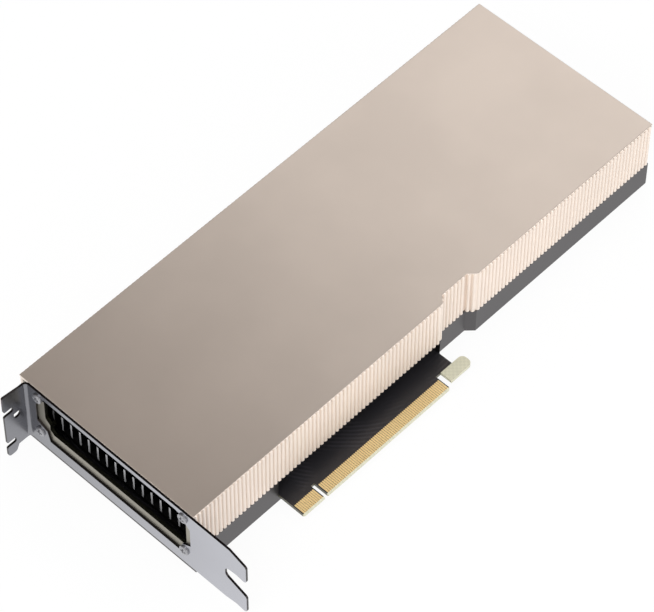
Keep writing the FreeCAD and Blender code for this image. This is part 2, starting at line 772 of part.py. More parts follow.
def power_socket():
    """Eight-way power socket in the far end, its two rows of cells open outward, with a pin in each."""
    body = new_body("PowerSocket")
    profile = sketch_on(body, "SocketProfile", "YZ_Plane")
    outline(profile, rectangle(("0", "0"), (SOCKET_WIDTH, "socket_height")))
    feature(body, "Pad", "SocketBlock", profile, "socket_length")
    cells = sketch_on(body, "SocketCellProfile", "YZ_Plane", "socket_length - socket_depth")
    margin = "(socket_pitch - socket_cell) / 2"
    rise = "(socket_height - socket_pitch * 2) / 2"
    for level in range(2):
        for column in range(4):
            low = (f"socket_wall + socket_pitch * {column} + {margin}",
                   f"{rise} + socket_pitch * {level} + {margin}")
            high = (f"{low[0]} + socket_cell", f"{low[1]} + socket_cell")
            outline(cells, rectangle(low, high))
    feature(body, "Pocket", "SocketCells", cells, "socket_depth", True)
    node(body, "power_socket", ("card_length / 2 - socket_length", "socket_side", BOARD_TOP))
    for level in range(2):
        for column in range(4):
            label = f"power_pin_{level * 4 + column + 1}"
            across = f"socket_side + socket_wall + socket_pitch * ({column} + 0.5) - pin_side / 2"
            up = f"{BOARD_TOP} + {rise} + socket_pitch * ({level} + 0.5) - pin_side / 2"
            node(box(label, ("pin_reach", "pin_side", "pin_side"),
                     ("card_length / 2 - socket_depth", across, up)), label)


def intake_frame():
    """Frame round the air intake in the far end, notched for the power socket."""
    body = new_body("IntakeFrame")
    side = f"({INNER_SIDE} - seat_gap)"
    profile = sketch_on(body, "IntakeProfile", "YZ_Plane")
    outline(profile, rectangle((f"-{side}", "frame_height"), (side, "card_height - cover_top - seat_gap")))
    feature(body, "Pad", "IntakeSheet", profile, "intake_thickness")
    opening = sketch_on(body, "IntakeOpeningProfile", "YZ_Plane")
    edge = f"({side} - intake_margin)"
    high = "card_height - intake_drop"
    outline(opening, [
        (f"-{edge}", "intake_low + intake_cut"),
        (f"-{edge} + intake_cut", "intake_low"),
        (f"{edge} - intake_cut", "intake_low"),
        (edge, "intake_low + intake_cut"),
        (edge, f"{high} - intake_cut"),
        (f"{edge} - intake_cut", high),
        (f"-{edge} + intake_cut", high),
        (f"-{edge}", f"{high} - intake_cut"),
    ])
    feature(body, "Pocket", "IntakeOpening", opening, "intake_thickness", True)
    notch = sketch_on(body, "IntakeNotchProfile", "YZ_Plane")
    top = f"{BOARD_TOP} + socket_height + seat_gap"
    outline(notch, rectangle(("socket_side - seat_gap", "front_wall_height"),
                             (f"socket_side + {SOCKET_WIDTH} + seat_gap", top)))
    feature(body, "Pocket", "IntakeNotch", notch, "intake_thickness", True)
    node(body, "intake_frame", ("card_length / 2 - intake_thickness", "0", "0"))


def bridge_cap():
    """Plastic cap over the bridge connector, on the board and flush with the frame's long edge."""
    across = f"{SIDE} - frame_inset - bridge_depth"
    node(box("bridge_cap", ("bridge_length", "bridge_depth", "bridge_height"),
             (f"{BRACKET_FACE} + bridge_start", across, BOARD_TOP)), "bridge_cap")


fluted_cover()
lower_frame()
back_plate()
circuit_board()
edge_contacts()
mounting_bracket()
exhaust_grille()
screws()
heat_sink()
processor()
pillars()
power_stage()
power_socket()
intake_frame()
bridge_cap()
doc.recompute()

for item in doc.Objects:
    if "Invalid" in item.State or "Error" in item.State:
        raise RuntimeError(f"{item.Label} did not recompute: {item.State}")
for item in NODES:
    if item.Shape.isNull() or not item.Shape.isValid():
        raise RuntimeError(f"{item.Label} has no valid shape")

os.makedirs("parts", exist_ok=True)
for item in NODES:
    item.Shape.exportStep(f"parts/{item.Label}.step")
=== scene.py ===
"""Dresses the passive accelerator card: finishes for its solids, and the fine pieces they leave out.

Laid out as an add-on: sizes, camera and lamps are properties, each piece has an operator, and main()
runs them in order.  Metres, in the card's own frame: +X to the far end, +Z up from the back.
"""

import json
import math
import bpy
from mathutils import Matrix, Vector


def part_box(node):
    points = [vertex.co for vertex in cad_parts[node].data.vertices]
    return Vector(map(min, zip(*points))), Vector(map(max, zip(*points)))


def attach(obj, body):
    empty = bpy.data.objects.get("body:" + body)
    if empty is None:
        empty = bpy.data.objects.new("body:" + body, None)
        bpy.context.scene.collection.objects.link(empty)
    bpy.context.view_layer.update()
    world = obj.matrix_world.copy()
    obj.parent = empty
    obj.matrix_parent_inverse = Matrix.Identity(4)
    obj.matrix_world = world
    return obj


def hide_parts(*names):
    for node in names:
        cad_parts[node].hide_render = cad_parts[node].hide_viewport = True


bl_info = {
    "name": "Passive Accelerator Card",
    "version": (1, 0, 0),
    "blender": (4, 5, 0),
    "location": "3D View > Sidebar > Card",
    "description": "Builds the ribs, contacts and screws of a passive accelerator card and its finishes",
    "category": "Object",
}

import bmesh
import bpy
from bpy.props import FloatProperty, FloatVectorProperty, PointerProperty
from mathutils import Matrix, Vector

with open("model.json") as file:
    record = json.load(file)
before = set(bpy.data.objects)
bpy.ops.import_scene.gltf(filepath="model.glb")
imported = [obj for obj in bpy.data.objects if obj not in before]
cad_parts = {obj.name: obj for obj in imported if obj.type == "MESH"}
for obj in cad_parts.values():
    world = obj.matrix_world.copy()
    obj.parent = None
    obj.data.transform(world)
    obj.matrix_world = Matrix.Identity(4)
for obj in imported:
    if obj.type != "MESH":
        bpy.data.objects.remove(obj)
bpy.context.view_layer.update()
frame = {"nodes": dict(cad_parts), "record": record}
NODES = frame["nodes"]
MM = 0.001
# Corners nearer to a place than this are at it.
CLOSE = 0.01 * MM
# Doubled corners nearer than this are merged, in pieces made here and in copies of the solids.
MERGE = 0.0005 * MM
SOLID_MERGE = 0.002 * MM
# Edges of a copied solid flatter than the first are dissolved, and those sharper than the second softened.
FLAT = math.radians(1.0)
SHARP = math.radians(35.0)

# The bracket: how far its lug stands out before its plate, its sheet, and the room that its fold takes up.
BRACKET_LUG = 12.2 * MM
BRACKET_SHEET = 1.0 * MM
BRACKET_FOLD = 4.0 * MM
BRACKET_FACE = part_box("mounting_bracket")[0].x + BRACKET_LUG
# The top, the foot and the fold's side of the window in the bracket's solid.
WINDOW_TOP = 33.7 * MM
WINDOW_FOOT = 10.7 * MM
WINDOW_SIDE = 37.5 * MM
# Top of the heat sink's base, which its fins stand on.
SINK_BASE_TOP = 8.5 * MM
# Bare laminate on the hook: how far it reaches in from the board's edge, and its start past the contacts.
HOOK_DEPTH = 7.9 * MM
TAB_TO_HOOK = 2.0 * MM

# How far the corner of a straight and a 45-degree wall slides along the straight one, for each unit that
# both are brought in.
MITRE = math.tan(math.radians(22.5))
# The rib's outline: steps across it, how full its curve is, and its share of the depth at the very foot.
RIB_STEPS = 10
RIB_FULLNESS = 0.6
RIB_FOOT = 0.8
# A row of ribs or contacts runs this much past its last step, so that the step is counted.
ROW_MARGIN = 0.001 * MM
# Contacts: the share of a pitch that may be missing for one more, and steps round a contact's inner end.
CONTACT_SPARE = 0.25
CONTACT_STEPS = 6

# Screws: sides round, height of a head and of its straight rim, steps over its dome, and shares of its
# radius for the flat on top and the shank.
SCREW_SIDES = 32
HEAD_HEIGHT = 1.1 * MM
HEAD_RIM = 0.15 * MM
DOME_STEPS = 5
DOME_FLAT = 0.45
SHANK_SHARE = 0.5
# Height of the dome on each set's heads, and the way that the heads face.
SCREW_SETS = {
    "bracket_screw": (0.7 * MM, Vector((-1.0, 0.0, 0.0))),
    "back_screw": (0.15 * MM, Vector((0.0, 0.0, -1.0))),
}
SCREWS_IN_SET = 4
# The cross recess, in shares of the head's radius: its arms' reach and half width, then how much wider
# or narrower it is at its mouth and its foot.  Its cutter starts clear above the head.
CROSS_REACH = 0.66
CROSS_HALF = 0.19
CROSS_MOUTH = 1.1
CROSS_FOOT = 0.55
CUTTER_CLEAR = 0.3 * MM
# The four small screws in the intake frame's corners: their size, how proud they stand, and their insets.
INTAKE_RADIUS = 1.35 * MM
INTAKE_LENGTH = 2.0 * MM
INTAKE_DOME = 0.3 * MM
INTAKE_RECESS = 0.4 * MM
INTAKE_PROUD = 0.6 * MM
INTAKE_INSET = 2.0 * MM
INTAKE_INSET_UP = 1.6 * MM

# Parts with softened edges: each one's finish, and its rounding in shares of the sheet's.
HOUSINGS = {
    "exhaust_grille": ("grille_gold", 1.0),
    "lower_frame": ("frame_grey", 1.5),
    "back_plate": ("back_black", 1.0),
    "intake_frame": ("intake_black", 1.5),
    "power_socket": ("socket_black", 1.0),
    "bridge_cap": ("cap_black", 2.0),
}

# How squarely a face looks along an axis, from 0 to 1: over these it counts as the cover's flat top, as
# the board's face, as an edge cut from sheet, and as a fin's cut end.
FLAT_TOP = 0.5
BOARD_FACE = 0.4
CUT_EDGE = 0.6
FIN_END = 0.7
# Scale per metre of each finish's grain and of its wide patches, and of the board's traces and weave.
METAL_GRAIN = 2600.0
METAL_PATCHES = 22.0
PLASTIC_GRAIN = 1800.0
PLASTIC_PATCHES = 60.0
BOARD_PATCHES = 55.0
BOARD_TRACES = 170.0
BOARD_WEAVE = 900.0
# Depth of the grain, and of the board's traces.
GRAIN_DEPTH = 0.1 * MM
TRACE_DEPTH = 0.04 * MM
# Scale of a rolled sheet's grain along X, Y and Z, which draws it out along X.
ROLLED = (0.05, 1.0, 1.0)

# The stage: how far the floor reaches, and how white the camera sees it.
FLOOR_REACH = 6.0
FLOOR_SEEN = 0.94
# Each soft box's place, the point it is aimed at, and its sides.
SOFT_BOXES = {
    "far": ((0.66, 0.30, 0.52), (0.60, 0.29, 0.0), (0.76, 0.9)),
    "near": ((-0.64, -0.12, 0.62), (-0.12, 0.0, 0.02), (0.4, 0.4)),
    "side": ((0.05, -0.80, 0.35), (0.0, -0.05, 0.02), (0.9, 0.4)),
}
# The way to the room's dim side, and how far towards it the room has gone dim.
DIM_SIDE = (math.sqrt(0.5), math.sqrt(0.5), 0.0)
DIM_FROM = 0.25
UP = Vector((0.0, 0.0, 1.0))


def length(label, meaning, millimetres):
    """A length of the card that a user may change."""
    return FloatProperty(name=label, description=meaning, default=millimetres * MM, min=0.0,
                         subtype="DISTANCE", unit="LENGTH", precision=5)


# ---------------------------------------------------------------- properties

class CardSizes(bpy.types.PropertyGroup):
    """Sizes of the fine pieces"""
    rib_pitch: length("Rib pitch", "Distance from one rib of the cover to the next", 2.16)
    rib_width: length("Rib width", "Width of one rib where it leaves the wall", 2.0)
    rib_depth: length("Rib depth", "How far the ribs stand out from the cover's wall", 0.9)
    cover_wall: length("Cover wall", "Thickness of the cover's side walls and top", 1.5)
    cover_edge: length("Cover edge", "Rounding of the cover's outer edges", 0.25)
    recess_start: length("Recess start", "From the bracket's face to the recess in the long side", 140.0)
    recess_end: length("Recess end", "From the bracket's face to the end of that recess", 161.3)
    recess_depth: length("Recess depth", "How far that recess goes in", 3.2)
    lip_height: length("Lip height", "Height of the cover's lip, which the ribs run out into", 0.6)
    lip_reach: length("Lip reach", "How far that lip stands out from the cover's wall", 0.5)
    contact_pitch: length("Contact pitch", "Distance from one edge contact to the next", 1.0)
    contact_width: length("Contact width", "Width of one edge contact", 0.84)
    screw_recess: length("Screw recess", "Depth of the cross recess in a screw's head", 0.9)
    sheet_edge: length("Sheet edge", "Rounding of cut sheet edges", 0.12)
    window_rise: length("Window rise", "How much higher the bracket's window is than its solid's", 2.4)
    window_dip: length("Window dip", "How much lower the bracket's window is than its solid's", 1.0)
    window_nip: length("Window nip", "How far its top corner is moved in from the prongs' screw", 2.6)
    window_side: length("Window side", "How much nearer to the fold its side is than its solid's", 0.9)


class StudioSettings(bpy.types.PropertyGroup):
    """The camera, the lamps and the room"""
    camera_place: FloatVectorProperty(
        name="Camera place", description="Where the camera stands",
        default=(-0.61251, -0.57114, 1.12323), subtype="TRANSLATION", unit="LENGTH")
    camera_aim: FloatVectorProperty(
        name="Camera aim", description="Direction the camera looks in",
        default=(0.42947, 0.42707, -0.79572), subtype="DIRECTION")
    camera_roll: FloatProperty(
        name="Camera roll", description="Turn of the camera about its aim",
        default=math.radians(0.85), subtype="ANGLE")
    camera_lens: FloatProperty(
        name="Lens", description="Focal length on a 36 mm sensor", default=188.73)
    camera_shift: FloatVectorProperty(
        name="Shift", description="Shift of the picture across and up", size=2, default=(0.0773, -0.0545))
    far_lamp: FloatProperty(
        name="Far lamp", description="Power of the soft box over the far end", default=1.85, unit="POWER")
    near_lamp: FloatProperty(
        name="Near lamp", description="Power of the soft box before the bracket", default=2.4,
        unit="POWER")
    side_lamp: FloatProperty(
        name="Side lamp", description="Power of the soft box along the card's long side", default=2.1,
        unit="POWER")
    room: FloatVectorProperty(
        name="Room", description="The dim side of the room, as the metal's gloss sees it",
        subtype="COLOR", default=(0.075, 0.062, 0.055))
    bright_room: FloatVectorProperty(
        name="Bright room", description="The other sides of the room, as the metal's gloss sees them",
        subtype="COLOR", default=(0.36, 0.35, 0.34))
    daylight: FloatProperty(
        name="Daylight", description="The even light of the room on matt surfaces", default=0.8)


# ---------------------------------------------------------------- materials

class Shade:
    """A material with a few short ways to add nodes."""

    def __init__(self, name):
        self.material = bpy.data.materials.new(name)
        self.material.use_nodes = True
        self.tree = self.material.node_tree
        self.tree.nodes.clear()
        self.out = self.add("ShaderNodeOutputMaterial")
        self.bsdf = self.add("ShaderNodeBsdfPrincipled")
        self.link(self.bsdf.outputs["BSDF"], self.out.inputs["Surface"])
        self.place = self.add("ShaderNodeTexCoord").outputs["Object"]

    def add(self, kind, **settings):
        made = self.tree.nodes.new(kind)
        for key, value in settings.items():
            setattr(made, key, value)
        return made

    def link(self, source, target):
        self.tree.links.new(source, target)

    def set(self, **values):
        for key, value in values.items():
            self.bsdf.inputs[key.replace("_", " ")].default_value = value

    def stretched(self, scale):
        made = self.add("ShaderNodeMapping")
        made.inputs["Scale"].default_value = scale
        self.link(self.place, made.inputs["Vector"])
        return made.outputs["Vector"]

    def noise(self, scale, detail=4.0, rough=0.6, vector=None):
        made = self.add("ShaderNodeTexNoise")
        made.inputs["Scale"].default_value = scale
        made.inputs["Detail"].default_value = detail
        made.inputs["Roughness"].default_value = rough
        self.link(vector or self.place, made.inputs["Vector"])
        return made.outputs["Fac"]

    def ramp(self, factor, stops):
        made = self.add("ShaderNodeValToRGB")
        elements = made.color_ramp.elements
        while len(elements) < len(stops):
            elements.new(0.5)
        for element, (position, colour) in zip(elements, stops):
            element.position = position
            element.color = (*colour, 1.0)
        self.link(factor, made.inputs["Fac"])
        return made.outputs["Color"]

    def span(self, factor, low, high, start=0.0, end=1.0):
        made = self.add("ShaderNodeMapRange")
        made.inputs["From Min"].default_value = start
        made.inputs["From Max"].default_value = end
        made.inputs["To Min"].default_value = low
        made.inputs["To Max"].default_value = high
        self.link(factor, made.inputs["Value"])
        return made.outputs["Result"]

    def math(self, operation, *values):
        made = self.add("ShaderNodeMath", operation=operation)
        for socket, value in zip(made.inputs, values):
            if isinstance(value, float):
                socket.default_value = value
            else:
                self.link(value, socket)
        return made.outputs[0]

    def mix(self, factor, first, second):
        made = self.add("ShaderNodeMix", data_type="RGBA")
        self.link(factor, made.inputs[0])
        for socket, colour in zip((made.inputs[6], made.inputs[7]), (first, second)):
            if isinstance(colour, tuple):
                socket.default_value = (*colour, 1.0)
            else:
                self.link(colour, socket)
        return made.outputs[2]

    def parts(self, vector):
        """A vector's X, Y and Z."""
        made = self.add("ShaderNodeSeparateXYZ")
        self.link(vector, made.inputs["Vector"])
        return made.outputs

    def facing(self, axis):
        """How squarely a face looks along an axis, either way."""
        normal = self.add("ShaderNodeNewGeometry").outputs["Normal"]
        return self.math("ABSOLUTE", self.parts(normal)[axis])

    def colour(self, source):
        self.link(source, self.bsdf.inputs["Base Color"])

    def uneven(self, factor, colour, spread, width):
        """A colour that is darker and lighter by a share, where noise is off its middle by a width."""
        return self.ramp(factor, [(0.5 - width, tint(colour, 1.0 - spread)),
                                  (0.5 + width, tint(colour, 1.0 + spread))])

    def gloss(self, factor, rough, spread):
        """A roughness that noise raises and lowers."""
        self.link(self.span(factor, rough - spread, rough + spread), self.bsdf.inputs["Roughness"])

    def bump(self, height, strength, distance=GRAIN_DEPTH):
        made = self.add("ShaderNodeBump")
        made.inputs["Strength"].default_value = strength
        made.inputs["Distance"].default_value = distance
        self.link(height, made.inputs["Height"])
        self.link(made.outputs["Normal"], self.bsdf.inputs["Normal"])


def tint(colour, share):
    return tuple(min(1.0, channel * share) for channel in colour)


def metal_shade(name, colour, rough, streak=None, bump=0.04, share=1.0):
    """Bare or anodised metal: fine grain in its gloss, a faint change of tone, and a blasted bump."""
    shade = Shade(name)
    shade.set(Metallic=share)
    vector = shade.stretched(streak) if streak else None
    fine = shade.noise(METAL_GRAIN, detail=3.0, rough=0.6, vector=vector)
    wide = shade.noise(METAL_PATCHES, detail=3.0, rough=0.5)
    tone = shade.uneven(wide, colour, spread=0.03, width=0.15)
    shade.colour(tone)
    shade.gloss(fine, rough, spread=0.05)
    shade.bump(fine, bump)
    return shade, tone


def metal(name, colour, rough, **details):
    return metal_shade(name, colour, rough, **details)[0].material


def fluted_metal(name, colour, rough, flank):
    """Anodised metal: a satin flat top, and upright flanks, blasted harder, that are nearly matt."""
    shade = metal_shade(name, colour, rough)[0]
    upright = shade.math("LESS_THAN", shade.facing("Z"), FLAT_TOP)
    shade.link(shade.span(upright, 1.0, flank), shade.bsdf.inputs["Metallic"])
    return shade.material


def finned_metal(name, bare, coated, rough, bare_share=0.15, fin_side_metallic=0.9):
    """Aluminium fins, their sides near-black as painted shade between the fins, and their ends, cut across
    the card, in the metal's own colour.
    """
    shade, tone = metal_shade(name, bare, rough)
    above_base = shade.math("GREATER_THAN", shade.parts(shade.place)["Z"], SINK_BASE_TOP)
    ends = shade.math("MULTIPLY", above_base, shade.math("GREATER_THAN", shade.facing("X"), FIN_END))
    # Painted shade: the fins' sides take the near-black colour, only their ends the metal's.
    shade.colour(shade.mix(ends, coated, tone))
    shade.link(shade.span(ends, fin_side_metallic, bare_share), shade.bsdf.inputs["Metallic"])
    return shade.material


def cut_sheet(name, colour, edge, rough, worn=1.0):
    """Plated sheet, rolled across, with painted shade: darker towards the bracket's fold, and near-black
    cut edges.
    """
    shade, tone = metal_shade(name, colour, rough, streak=ROLLED)
    low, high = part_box("mounting_bracket")
    split = shade.parts(shade.place)
    beside_fold = shade.math("LESS_THAN", split["Y"], high.y - BRACKET_FOLD)
    before_fold = shade.math("LESS_THAN", split["X"], BRACKET_FACE + BRACKET_SHEET - BRACKET_FOLD)
    # Painted shade: faces cut square through the sheet take the near-black edge colour.
    cut = shade.math("GREATER_THAN", shade.facing("Z"), CUT_EDGE)
    for region, axis in ((beside_fold, "Y"), (before_fold, "X")):
        square = shade.math("GREATER_THAN", shade.facing(axis), CUT_EDGE)
        cut = shade.math("MAXIMUM", cut, shade.math("MULTIPLY", region, square))
    # Painted shade: the colour darkens across the bracket towards its fold by the given share.
    across = shade.span(split["Y"], 0.0, 1.0, low.y, high.y)
    fold_shaded_tone = shade.mix(across, tone, tint(colour, worn))
    shade.colour(shade.mix(cut, fold_shaded_tone, edge))
    return shade.material


def plastic(name, colour, rough):
    """Moulded plastic or paint: an even colour, a fine eggshell bump and slightly uneven gloss."""
    shade = Shade(name)
    shade.set(Metallic=0.0)
    fine = shade.noise(PLASTIC_GRAIN, detail=2.0, rough=0.5)
    wide = shade.noise(PLASTIC_PATCHES, detail=3.0, rough=0.6)
    shade.colour(shade.uneven(wide, colour, spread=0.12, width=0.2))
    shade.gloss(wide, rough, spread=0.06)
    shade.bump(fine, strength=0.06)
    return shade.material


def board(name, mask, laminate, edge, trace_from=0.62, trace_tone=1.7, weave_tone=0.93,
          mask_rough=0.36, bare_rough=0.6):
    """Black solder mask over fine traces, bare pale laminate on the hook and tip, olive cut edges."""
    shade = Shade(name)
    split = shade.parts(shade.place)
    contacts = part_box("contacts_long_top")
    hook_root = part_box("circuit_board")[0].y + HOOK_DEPTH
    beyond_tip = shade.math("LESS_THAN", split["Y"], contacts[0].y)
    past_tab = shade.math("GREATER_THAN", split["X"], contacts[1].x + TAB_TO_HOOK)
    below_root = shade.math("LESS_THAN", split["Y"], hook_root)
    bare = shade.math("MAXIMUM", beyond_tip, shade.math("MULTIPLY", past_tab, below_root))
    traces = shade.add("ShaderNodeTexWave", wave_type="RINGS", rings_direction="Z")
    for socket, value in (("Scale", BOARD_TRACES), ("Distortion", 1.5), ("Detail", 1.0),
                          ("Detail Scale", 0.6)):
        traces.inputs[socket].default_value = value
    shade.link(shade.place, traces.inputs["Vector"])
    patchy = shade.noise(BOARD_PATCHES, detail=2.0, rough=0.4)
    patch = shade.ramp(patchy, [(0.48, (0.0, 0.0, 0.0)), (0.56, (1.0, 1.0, 1.0))])
    trace = shade.math("GREATER_THAN", traces.outputs["Fac"], trace_from)
    lines = shade.math("MULTIPLY", trace, patch)
    masked = shade.mix(lines, mask, tint(mask, trace_tone))
    side = shade.math("LESS_THAN", shade.facing("Z"), BOARD_FACE)
    weave = shade.add("ShaderNodeTexChecker")
    weave.inputs["Scale"].default_value = BOARD_WEAVE
    weave.inputs["Color1"].default_value = (*laminate, 1.0)
    weave.inputs["Color2"].default_value = (*tint(laminate, weave_tone), 1.0)
    shade.link(shade.place, weave.inputs["Vector"])
    face = shade.mix(bare, masked, weave.outputs["Color"])
    rim = shade.mix(bare, edge, laminate)
    shade.colour(shade.mix(side, face, rim))
    shade.link(shade.span(bare, mask_rough, bare_rough), shade.bsdf.inputs["Roughness"])
    shade.bump(lines, strength=0.35, distance=TRACE_DEPTH)
    return shade.material


FINISHES = {
    "cover_gold": (fluted_metal, {"colour": (0.86, 0.755, 0.67), "rough": 0.42, "flank": 0.35}),
    "frame_grey": (metal, {"colour": (0.115, 0.110, 0.112), "rough": 0.42, "bump": 0.08}),
    "back_black": (plastic, {"colour": (0.02, 0.02, 0.022), "rough": 0.45}),
    "board_black": (board, {"mask": (0.020, 0.019, 0.022), "laminate": (0.62, 0.61, 0.47),
                            "edge": (0.10, 0.095, 0.06)}),
    "contact_gold": (metal, {"colour": (1.0, 0.78, 0.40), "rough": 0.32, "share": 0.7}),
    # Painted shade on the bracket: its near-black edge colour on its cut edges, and its share of 0.45
    # darkening it towards its fold.
    "bracket_steel": (cut_sheet, {"colour": (0.515, 0.52, 0.565), "edge": (0.045, 0.04, 0.04),
                                  "rough": 0.24, "worn": 0.45}),
    # Painted shade on the grille: its gold darkened to a dull olive, and its near-black edge colour on its
    # cut edges.
    "grille_gold": (cut_sheet, {"colour": (0.36, 0.34, 0.29), "edge": (0.03, 0.03, 0.02), "rough": 0.45}),
    # Painted shade: the heat sink's near-black colour stands for the shade between its fins.
    "sink_aluminium": (finned_metal, {"bare": (0.62, 0.62, 0.64), "coated": (0.02, 0.02, 0.021),
                                      "rough": 0.5}),
    "screw_steel": (metal, {"colour": (0.42, 0.42, 0.44), "rough": 0.42}),
    "package_green": (plastic, {"colour": (0.03, 0.06, 0.035), "rough": 0.5}),
    "die_silicon": (plastic, {"colour": (0.05, 0.055, 0.07), "rough": 0.12}),
    "memory_black": (plastic, {"colour": (0.03, 0.03, 0.032), "rough": 0.15}),
    "pad_grey": (plastic, {"colour": (0.25, 0.25, 0.26), "rough": 0.8}),
    "pillar_brass": (metal, {"colour": (0.72, 0.55, 0.28), "rough": 0.35}),
    "choke_block": (plastic, {"colour": (0.07, 0.07, 0.075), "rough": 0.6}),
    "capacitor_can": (metal, {"colour": (0.7, 0.7, 0.72), "rough": 0.3}),
    "socket_black": (plastic, {"colour": (0.012, 0.012, 0.012), "rough": 0.42}),
    "pin_gold": (metal, {"colour": (0.83, 0.62, 0.30), "rough": 0.25}),
    "intake_black": (plastic, {"colour": (0.02, 0.02, 0.021), "rough": 0.42}),
    "cap_black": (plastic, {"colour": (0.015, 0.015, 0.016), "rough": 0.45}),
}
MADE = {}


def finish(slot):
    """The material of a slot, made once."""
    if slot not in MADE:
        make, details = FINISHES[slot]
        MADE[slot] = make(slot, **details)
    return MADE[slot]


# ---------------------------------------------------------------- ways to make pieces

def new_piece(name, mesh):
    piece = bpy.data.objects.new(name, mesh)
    bpy.context.scene.collection.objects.link(piece)
    return piece


def mesh_of(name, points, faces=(), edges=()):
    mesh = bpy.data.meshes.new(name)
    mesh.from_pydata([tuple(point) for point in points], list(edges), list(faces))
    mesh.validate()
    return mesh


def ring_mesh(name, rings):
    """Joins rings of as many points each, with a cap on the first and the last."""
    points = [point for ring in rings for point in ring]
    count = len(rings[0])
    faces = []
    for level in range(len(rings) - 1):
        for index in range(count):
            follow = (index + 1) % count
            faces.append((level * count + index, level * count + follow,
                          (level + 1) * count + follow, (level + 1) * count + index))
    faces.append(tuple(reversed(range(count))))
    faces.append(tuple(range(len(points) - count, len(points))))
    return mesh_of(name, points, faces)


def outward(mesh):
    """Turns a closed mesh's faces outwards."""
    work = bmesh.new()
    work.from_mesh(mesh)
    bmesh.ops.remove_doubles(work, verts=work.verts, dist=MERGE)
    bmesh.ops.recalc_face_normals(work, faces=work.faces)
    work.to_mesh(mesh)
    work.free()
    return mesh


def soften(piece, width):
    """Adds a slight rounding of a piece's sharp edges, and returns its modifier."""
    bevel = piece.modifiers.new("edges", "BEVEL")
    bevel.width = width
    bevel.segments = 2
    bevel.limit_method = "ANGLE"
    return bevel


def softened(name, node, width, reshape=None):
    """A copy of a solid with its sharp edges slightly rounded, as a real edge is."""
    work = bmesh.new()
    work.from_mesh(NODES[node].data)
    bmesh.ops.remove_doubles(work, verts=work.verts, dist=SOLID_MERGE)
    bmesh.ops.dissolve_limit(work, angle_limit=FLAT, verts=work.verts, edges=work.edges)
    if reshape:
        reshape(work)
    mesh = bpy.data.meshes.new(name)
    work.to_mesh(mesh)
    work.free()
    piece = new_piece(name, mesh)
    soften(piece, width).angle_limit = SHARP
    bake(piece)
    return piece


def bake(piece):
    """Replaces a piece's mesh by what its modifiers make, and removes them."""
    ready = bpy.context.evaluated_depsgraph_get()
    mesh = bpy.data.meshes.new_from_object(piece.evaluated_get(ready))
    piece.modifiers.clear()
    piece.data = mesh


def dress(piece, slot, *nodes):
    """Gives a piece its finish, fixes it to the card, and hides the solids it stands for."""
    piece.data.materials.clear()
    piece.data.materials.append(finish(slot))
    for face in piece.data.polygons:
        face.material_index = 0
    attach(piece, "root")
    if nodes:
        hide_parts(*nodes)


def copies_tree(name, along):
    """Copies a piece to every point, or along every edge at an even pitch, turned to the edge."""
    tree = bpy.data.node_groups.new(name, "GeometryNodeTree")
    face = tree.interface
    for label, kind in (("Geometry", "Geometry"), ("Piece", "Object"), ("Finish", "Material"),
                        ("Pitch", "Float")):
        face.new_socket(label, in_out="INPUT", socket_type=f"NodeSocket{kind}")
    face.new_socket("Geometry", in_out="OUTPUT", socket_type="NodeSocketGeometry")
    enter = tree.nodes.new("NodeGroupInput")
    leave = tree.nodes.new("NodeGroupOutput")
    pattern = tree.nodes.new("GeometryNodeObjectInfo")
    place = tree.nodes.new("GeometryNodeInstanceOnPoints")
    solid = tree.nodes.new("GeometryNodeRealizeInstances")
    paint = tree.nodes.new("GeometryNodeSetMaterial")
    link = tree.links.new
    link(enter.outputs["Piece"], pattern.inputs["Object"])
    link(pattern.outputs["Geometry"], place.inputs["Instance"])
    if along:
        line = tree.nodes.new("GeometryNodeMeshToCurve")
        steps = tree.nodes.new("GeometryNodeResampleCurve")
        steps.mode = "LENGTH"
        points = tree.nodes.new("GeometryNodeCurveToPoints")
        points.mode = "EVALUATED"
        turn = tree.nodes.new("FunctionNodeAlignRotationToVector")
        turn.axis = "X"
        turn.pivot_axis = "Z"
        link(enter.outputs["Geometry"], line.inputs["Mesh"])
        link(line.outputs["Curve"], steps.inputs["Curve"])
        link(enter.outputs["Pitch"], steps.inputs["Length"])
        link(steps.outputs["Curve"], points.inputs["Curve"])
        link(points.outputs["Tangent"], turn.inputs["Vector"])
        link(points.outputs["Points"], place.inputs["Points"])
        link(turn.outputs["Rotation"], place.inputs["Rotation"])
    else:
        link(enter.outputs["Geometry"], place.inputs["Points"])
    link(place.outputs["Instances"], solid.inputs["Geometry"])
    link(solid.outputs["Geometry"], paint.inputs["Geometry"])
    link(enter.outputs["Finish"], paint.inputs["Material"])
    link(paint.outputs["Geometry"], leave.inputs["Geometry"])
    return tree


def copies(name, pattern, slot, points, edges=(), pitch=0.0):
    """One mesh of a pattern copied to each point, or along each edge; the pattern is used up."""
    piece = new_piece(name, mesh_of(name, points, edges=edges))
    original = new_piece(name + "_pattern", pattern)
    tree = copies_tree(name + "_copies", bool(edges))
    maker = piece.modifiers.new("copies", "NODES")
    maker.node_group = tree
    values = {"Piece": original, "Finish": finish(slot), "Pitch": pitch}
    for item in tree.interface.items_tree:
        if item.in_out == "INPUT" and item.name in values:
            maker[item.identifier] = values[item.name]
    bake(piece)
    bpy.data.objects.remove(original)
    return piece


def straight_row(start, end, width, pitch, spare=0.0):
    """The ends of a centred row of copies of a width between two points, and its pitch.

    With spare, a share of a pitch, the row has one more copy where only that much is missing, and the
    pitch is evened out to fill the run.
    """
    run = end - start
    steps = math.floor((run.length - width) / pitch + spare)
    if spare:
        pitch = (run.length - width) / steps
    reach = run.normalized() * (steps * pitch / 2 + ROW_MARGIN)
    middle = (start + end) / 2
    return middle - reach, middle + reach, pitch


# ---------------------------------------------------------------- operators

